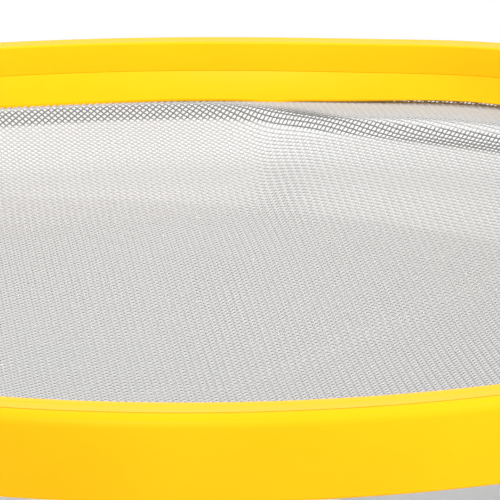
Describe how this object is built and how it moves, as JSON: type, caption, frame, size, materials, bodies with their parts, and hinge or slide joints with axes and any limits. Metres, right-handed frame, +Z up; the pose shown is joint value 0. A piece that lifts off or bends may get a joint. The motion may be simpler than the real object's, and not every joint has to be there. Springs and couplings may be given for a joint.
{
  "type": "shallow round sieve",
  "caption": "Shallow round sieve: a moulded plastic hoop with a flat top lip and a clamp ring pressed into it, holding a woven wire cloth shaped as a shallow bowl.",
  "frame": {"origin": "under the middle of the dish, on the plane the sieve rests on", "axes": "+Z up along the hoop's axis; X and Y are any two directions across the hoop"},
  "size_m": [0.25, 0.25, 0.0359],
  "materials": {
    "yellow_plastic": "moulded, soft gloss",
    "ring_plastic": "moulded, soft gloss",
    "steel_wire": "plain-woven drawn stainless wire"
  },
  "bodies": {
    "root": {"outer_hoop": "yellow_plastic", "clamp_ring": "ring_plastic", "wire_cloth": "steel_wire"}
  },
  "joints": []
}
